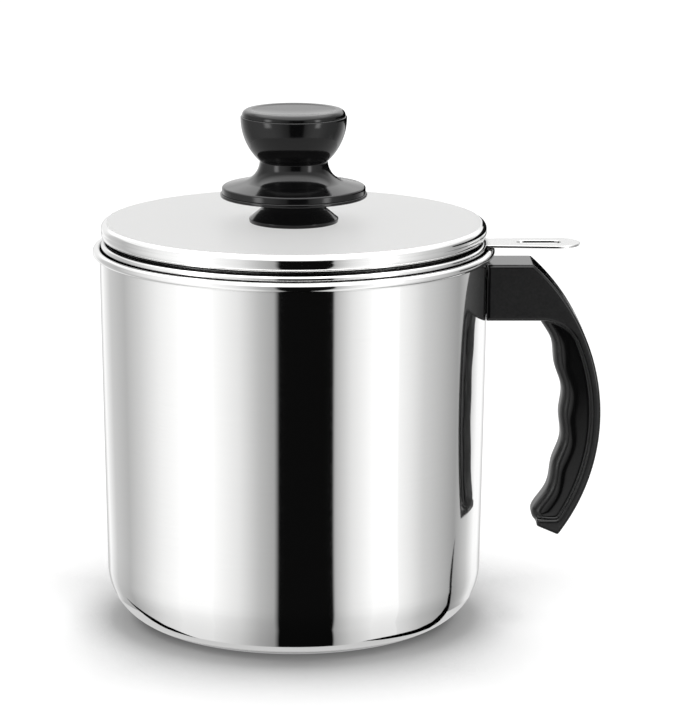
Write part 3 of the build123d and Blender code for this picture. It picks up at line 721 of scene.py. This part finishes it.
def steady(points, closed, margin=0.25, shortest=1.2):
    """Add a point near each end of every long straight run."""
    result = []
    count = len(points)
    for number in range(count):
        here = Vector(points[number])
        result.append(tuple(here))
        if not closed and number == count - 1:
            break
        run = Vector(points[(number + 1) % count]) - here
        if run.length > shortest:
            result.append(tuple(here + run.normalized() * margin))
            result.append(tuple(here + run - run.normalized() * margin))
    return result


print("a quarter circle:", len(bow((1, 0), (0.7071, 0.7071), (0, 1), 8)), "points")


# %% Helpers that turn a profile and finish a piece
def mesh_object(name, mesh_builder):
    """A smooth-shaded Blender object from a bmesh."""
    mesh = bpy.data.meshes.new(name)
    bmesh.ops.recalc_face_normals(mesh_builder, faces=mesh_builder.faces)
    mesh_builder.to_mesh(mesh)
    mesh_builder.free()
    for face in mesh.polygons:
        face.use_smooth = True
    made = bpy.data.objects.new(name, mesh)
    bpy.context.scene.collection.objects.link(made)
    return made


def turn_profile(name, points, closed=True, segments=288):
    """Turn (radius, height) points in mm round the axis. An open line starts and ends on the axis."""
    points = steady(points, closed)
    work = bmesh.new()
    rings = []
    for radius, height in points:
        if radius < 1e-6:
            rings.append([work.verts.new((0, 0, height * mm))])
            continue
        angles = [2 * pi * k / segments for k in range(segments)]
        circle = [(radius * mm * cos(a), radius * mm * sin(a), height * mm) for a in angles]
        rings.append([work.verts.new(place) for place in circle])
    pairs = list(zip(rings, rings[1:]))
    if closed:
        pairs.append((rings[-1], rings[0]))
    for low, high in pairs:
        for k in range(segments):
            after = (k + 1) % segments
            lower = [low[k % len(low)], low[after % len(low)]]
            upper = [high[after % len(high)], high[k % len(high)]]
            corners = list(dict.fromkeys(lower + upper))
            if len(corners) > 2:
                work.faces.new(corners)
    return mesh_object(name, work)


def place_piece(piece, body, finish, *replaced, paint=None):
    """The piece takes a finish, or a variant of it, moves with a body and stands for CAD nodes."""
    piece.data.materials.clear()
    piece.data.materials.append(paint or finishes[finish])
    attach(piece, body)
    if replaced:
        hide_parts(*replaced)
    size = piece.dimensions / mm
    print(piece.name, "faces", len(piece.data.polygons), "size", tuple(round(v, 1) for v in size))
    return piece


# %% [markdown]
# ## The pot
#
# The pot is one sheet 0.7 mm thick, drawn from a disc. Its bottom corner is a large round, its wall
# widens slightly upwards so that the punch lets go, and its rim is rolled outwards, which hides the
# cut edge and stiffens the mouth. A closed line round the sheet's whole section gives all of this.

# %% Pot
finest_turning = 384
pot_height, base_radius, mouth_radius = 121.2, 59.6, 61.5
sheet, corner_round, roll = 0.7, 18.0, 1.4
roll_height = pot_height - roll
roll_radius = mouth_radius - sheet + roll


def rolled(radius, start, end, steps=26):
    """Points round the centre of the rolled rim, between two angles in degrees."""
    angles = [radians(start + (end - start) * k / steps) for k in range(steps + 1)]
    return [(roll_radius + radius * cos(a), roll_height + radius * sin(a)) for a in angles]


outside = soften(
    [(0, 0, 0), (base_radius, 0, corner_round), (mouth_radius, roll_height, 0)], closed=False, step=3,
)
inside = soften(
    [
        (0, sheet, 0), (base_radius - sheet, sheet, corner_round - sheet),
        (mouth_radius - sheet, roll_height, 0),
    ],
    closed=False, step=3,
)
rim = rolled(roll - sheet, 180, -80) + rolled(roll, -80, 180)
pot_line = outside[:-1] + rim + inside[-2::-1]
pot_wall = turn_profile("pot_wall", pot_line, closed=False, segments=finest_turning)
place_piece(pot_wall, "pot", "polished_steel", "pot_body")

# %% [markdown]
# ## The strainer
#
# The strainer's frame is spun from one strip: a hoop that lies on the pot's rim, a collar that hangs
# inside, and a narrow ledge. The hoop's edge is fully round, so it mirrors the bright ceiling and shows
# as a white line all the way round. The woven screen is pressed up against the ledge by a clamp ring.

# %% Strainer frame
hoop_low, hoop_high, hoop_out, hoop_round = 120.55, 123.0, 61.0, 1.15
collar_in, collar_out, ledge_in = 59.08, 59.68, 54.68
ledge_low, ledge_high = 113.4, 114.0
frame_line = soften([
    (ledge_in, ledge_low, 0.15), (collar_out, ledge_low, 0.5), (collar_out, hoop_low, 0.2),
    (hoop_out, hoop_low, hoop_round), (hoop_out, hoop_high, hoop_round), (collar_in, hoop_high, 0.3),
    (collar_in, ledge_high, 0.2), (ledge_in, ledge_high, 0.15),
])
place_piece(turn_profile("strainer_hoop", frame_line), "strainer", "polished_steel", "strainer_frame")

# %% [markdown]
# The tab is a flat blanked strip with a long slot to hang it by. Blanking leaves a small round on the
# upper edges. It is drawn as an outline with a hole, raised to its thickness and given a bevel.


# %% Pull tab
def tab_shape(points_round=24):
    """The tab's outline and its slot, as two closed lines of (x, y) in mm."""
    root, tip, root_half, end_round = 59.1, 90.6, 6.0, 7.6
    turn = [radians(-90 + 180 * k / points_round) for k in range(points_round + 1)]
    outer = [(root, root_half), (root, -root_half)]
    outer += [(tip - end_round + end_round * cos(a), end_round * sin(a)) for a in turn]
    slot_tip, slot_length, slot_half = tip - 6.0, 14.0, 2.5
    ends = [(slot_tip - slot_half, -90), (slot_tip - slot_length + slot_half, 90)]
    slot = []
    for centre, start in ends:
        angles = [radians(start + 180 * k / points_round) for k in range(points_round + 1)]
        slot += [(centre + slot_half * cos(a), slot_half * sin(a)) for a in angles]
    return outer, slot


def plate_with_hole(name, outer, hole, low, thickness):
    """A flat plate in mm, with one hole, filled by Blender's own triangle fill."""
    work = bmesh.new()
    edges = []
    for line in (outer, hole):
        points = [work.verts.new((x * mm, y * mm, low * mm)) for x, y in line]
        edges += [work.edges.new(pair) for pair in zip(points, points[1:] + points[:1])]
    bmesh.ops.triangle_fill(work, edges=edges, use_beauty=True, normal=(0, 0, 1))
    grown = bmesh.ops.extrude_face_region(work, geom=work.faces[:])
    top = [v for v in grown["geom"] if isinstance(v, bmesh.types.BMVert)]
    bmesh.ops.translate(work, verts=top, vec=(0, 0, thickness * mm))
    return mesh_object(name, work)


tab_outer, tab_slot = tab_shape()
tab = plate_with_hole("pull_tab", tab_outer, tab_slot, low=121.4, thickness=0.8)
tab_round = tab.modifiers.new("blanked_edge", "BEVEL")
tab_round.width = 0.15 * mm
tab_round.segments = 3
tab_round.limit_method = "ANGLE"
tab_round.harden_normals = True
place_piece(tab, "strainer", "polished_steel", "strainer_tab", paint=tab_steel)

# %% [markdown]
# The screen is plain weave: every wire goes over one crossing wire and under the next. Each wire here
# is a thin four-sided tube along a wave, and neighbours have opposite waves. The dish is part of a
# ball, so a wire's height at any place is the ball's height plus its own wave.

# %% Woven screen
weave_pitch, wire_radius, weave_swing = 1.2, 0.13, 0.12
dish_edge, dish_depth, screen_edge, screen_top = 54.68, 10.0, 58.88, 113.4
ball = (dish_edge**2 + dish_depth**2) / (2 * dish_depth)
screen_middle = screen_top - wire_radius - weave_swing


def screen_height(x, y):
    """Height of the middle of the screen over a point."""
    out = sqrt(x * x + y * y)
    if out >= dish_edge:
        return screen_middle
    return screen_middle - dish_depth + ball - sqrt(ball**2 - out**2)


def weave_wire(work, number, along_x):
    """One wire of the screen, at its place in the weave."""
    offset = number * weave_pitch
    half = sqrt(screen_edge**2 - offset**2)
    first, last = ceil(-half / (weave_pitch / 2)), int(half / (weave_pitch / 2))
    previous = None
    for k in range(first, last + 1):
        run = k * weave_pitch / 2
        x, y = (run, offset) if along_x else (offset, run)
        over = cos(pi * run / weave_pitch + pi * number + (0 if along_x else pi))
        middle = Vector((x, y, screen_height(x, y) + weave_swing * over)) * mm
        side = Vector((0, 1, 0)) if along_x else Vector((1, 0, 0))
        corners = [side, Vector((0, 0, 1)), -side, Vector((0, 0, -1))]
        ring = [work.verts.new(middle + corner * wire_radius * mm) for corner in corners]
        if previous:
            for s in range(4):
                work.faces.new((previous[s], previous[(s + 1) % 4], ring[(s + 1) % 4], ring[s]))
        else:
            work.faces.new(ring)
        previous = ring
    work.faces.new(previous)


work = bmesh.new()
last_wire = int((screen_edge - 1) / weave_pitch)
for number in range(-last_wire, last_wire + 1):
    weave_wire(work, number, True)
    weave_wire(work, number, False)
place_piece(mesh_object("woven_screen", work), "strainer", "woven_steel", "strainer_mesh")

# %% [markdown]
# ## The lid
#
# The lid is one pressed sheet. From the middle outwards it has a flat seat for the knob, a very
# shallow dish, a sharp crease, a rolled shoulder and an edge that turns in to carry the locating ring.
# The inner skin follows the outer one at the sheet's thickness. A fine groove runs beside the crease.

# %% Lid
lid_low, crease_height, crease_radius, widest_radius, edge_radius = 123.85, 129.10, 59.5, 60.9, 59.8
lid_dish, seat_radius, widest_rise, fullness = 0.25, 17.0, 2.8, 0.72
hole_radius, ring_radius = 2.9, 58.58
crease_step, groove_width, groove_depth = 0.3, 0.34, 0.12


def lid_skin(inset, low, groove):
    """The lid's skin from the knob's seat to the edge, drawn in by a thickness."""
    seat = crease_height - lid_dish - inset
    crease = (crease_radius - inset, crease_height - inset)
    step = (crease[0] + crease_step, crease[1] - crease_step)
    widest = (widest_radius - inset, lid_low + widest_rise)
    edge = (edge_radius - inset, low)
    rest = 1 - fullness
    shoulder = (widest[0] * fullness + step[0] * rest, step[1] * fullness + widest[1] * rest)
    curl = (widest[0] * fullness + edge[0] * rest, edge[1] * fullness + widest[1] * rest)
    middle = ((seat_radius + crease[0]) / 2, seat + lid_dish / 4)
    points = [(hole_radius, seat), (seat_radius - 4, seat)]
    points += bow((seat_radius, seat), middle, crease, 30)[:-1]
    if groove:
        points = [p for p in points if p[0] < crease[0] - 2 * groove_width]
        level = crease[1] - 0.01
        points += [(crease[0] - groove_width, level), (crease[0] - groove_width / 2, level - groove_depth)]
    points += [crease]
    return points + bow(step, shoulder, widest, 20) + bow(widest, curl, edge, 10)[1:]


skin_out = lid_skin(0, lid_low, True)
skin_in = lid_skin(sheet, lid_low + sheet, False)
lid_line = skin_out + [(ring_radius, lid_low), (ring_radius, lid_low + sheet)] + skin_in[::-1]
lid_top = turn_profile("lid_dome", lid_line, segments=finest_turning)
place_piece(lid_top, "lid", "polished_steel", "lid_shell", paint=lid_steel)

# %% [markdown]
# ## The knob
#
# The knob stands on a conical foot and has a thin disc, a broad skirt, a narrow waist and a bowl that
# the fingers close on. A dished cap with a fine seam finishes it. All of it is turned or moulded, and
# each part gets the small rounds that a mould needs.

# %% Knob foot and disc
foot_low, disc_low, knob_low, cap_low, knob_top = 128.85, 137.0, 138.0, 162.5, 164.5
bore, disc_radius = 2.9, 23.2
knob_pieces = []


def place_knob(name, line, node, closed=True):
    """Turn a line and place it on the lid as a black piece of the knob."""
    made = turn_profile(name, line, closed=closed)
    knob_pieces.append(place_piece(made, "lid", "black_moulding", node))


place_knob("knob_collar", soften([
    (bore, foot_low, 0), (14.0, foot_low, 0.15), (14.2, foot_low + 1.1, 0.35), (10.5, foot_low + 4.1, 0.8),
    (9.45, foot_low + 6.1, 0.5), (9.4, disc_low, 0), (bore, disc_low, 0),
]), "knob_foot")
place_knob("knob_disc", soften([
    (bore, disc_low, 0), (disc_radius, disc_low, 0.3), (disc_radius, knob_low, 0.3), (bore, knob_low, 0),
]), "knob_underplate")

# %% Knob body
skirt, skirt_edge, neck_start, waist_height = 22.7, knob_low + 2.1, knob_low + 3.7, knob_low + 10.3
waist, bowl, flare, bulge = 10.75, 16.75, 16.0, 1.7
neck = bow((flare, neck_start), (waist + 0.9, (neck_start + waist_height) / 2), (waist, waist_height), 24)
belly = ((waist + bowl) / 2 + bulge * 0.9, (waist_height + cap_low) / 2 - bulge * 0.4)
bowl_side = bow((waist, waist_height), belly, (bowl, cap_low - 0.25), 30)
skirt_line = soften(
    [(flare, neck_start, 0), (skirt, skirt_edge, 0.75), (skirt, knob_low, 0.15), (0, knob_low, 0)],
    closed=False,
)
seam = [(0, cap_low), (bowl - 0.45, cap_low), (bowl - 0.12, cap_low - 0.08)]
knob_line = seam + bowl_side[::-1] + neck[-2::-1] + skirt_line[1:]
place_knob("knob_grip", knob_line, "knob_body", closed=False)

# %% Knob cap
cap_radius, dish_radius, dish_edge_height = 16.3, 12.6, knob_top - 0.25
cap_line = soften([
    (0, cap_low, 0), (cap_radius, cap_low, 0.12), (cap_radius, knob_top, 1.7), (13.4, knob_top, 0.5),
    (dish_radius, dish_edge_height, 0),
], closed=False)
dish = bow((dish_radius, dish_edge_height), (8.0, knob_top - 0.70), (0, knob_top - 1.0), 20)
place_knob("knob_button", cap_line[:-1] + dish, "knob_cap", closed=False)

# The knob is left out of shadow rays and diffuse rays, so it throws no shade on the lid.
for piece in knob_pieces:
    piece.visible_shadow = False
    piece.visible_diffuse = False
print("knob pieces:", len(knob_pieces))

# %% [markdown]
# ## The handle
#
# The handle is one thick moulding: a block against the pot, a flat-sided spine, a rounded lobe with
# four shallow finger grooves and a flat tip. Its CAD solid already has this shape, but its faces are
# long thin triangles that a glossy finish would show. A voxel remesh turns a copy of it into small
# even faces, and a light smoothing takes the steps off.


# %% Handle
def even_copy(source, name, voxel, smoothing):
    """A copy of a CAD node with small even faces."""
    made = bpy.data.objects.new(name, source.data.copy())
    bpy.context.scene.collection.objects.link(made)
    bpy.context.view_layer.objects.active = made
    weld = made.modifiers.new("weld", "WELD")
    weld.merge_threshold = 0.002 * mm
    grid = made.modifiers.new("grid", "REMESH")
    grid.mode = "VOXEL"
    grid.voxel_size = voxel * mm
    grid.use_smooth_shade = True
    ease = made.modifiers.new("ease", "CORRECTIVE_SMOOTH")
    ease.iterations = smoothing
    ease.use_only_smooth = True
    ready = bpy.data.meshes.new_from_object(made.evaluated_get(bpy.context.evaluated_depsgraph_get()))
    made.modifiers.clear()
    made.data = ready
    for face in ready.polygons:
        face.use_smooth = True
    return made


grip = even_copy(nodes["handle_grip"], "handle_moulding", voxel=0.35, smoothing=3)
place_piece(grip, "pot", "black_moulding", "handle_grip")

# %% [markdown]
# ## The pieces that keep their CAD shape
#
# The bracket, the rings, the brass thread, the screws and the washers are exact in the CAD already.
# They keep their shapes and only take a finish.

# %% Finishes for the carried-over nodes
kept = {
    "plain_steel": ["handle_bracket", "strainer_clamp_ring", "lid_locating_ring"],
    "fastener_steel": ["handle_screw", "handle_washer", "handle_spring_washer",
                       "knob_screw", "knob_washer", "knob_spring_washer"],
    "brass_insert": ["knob_insert"],
}
for finish, names in kept.items():
    for name in names:
        nodes[name].data.materials.clear()
        nodes[name].data.materials.append(finishes[finish])
print("kept nodes:", sum(len(names) for names in kept.values()))
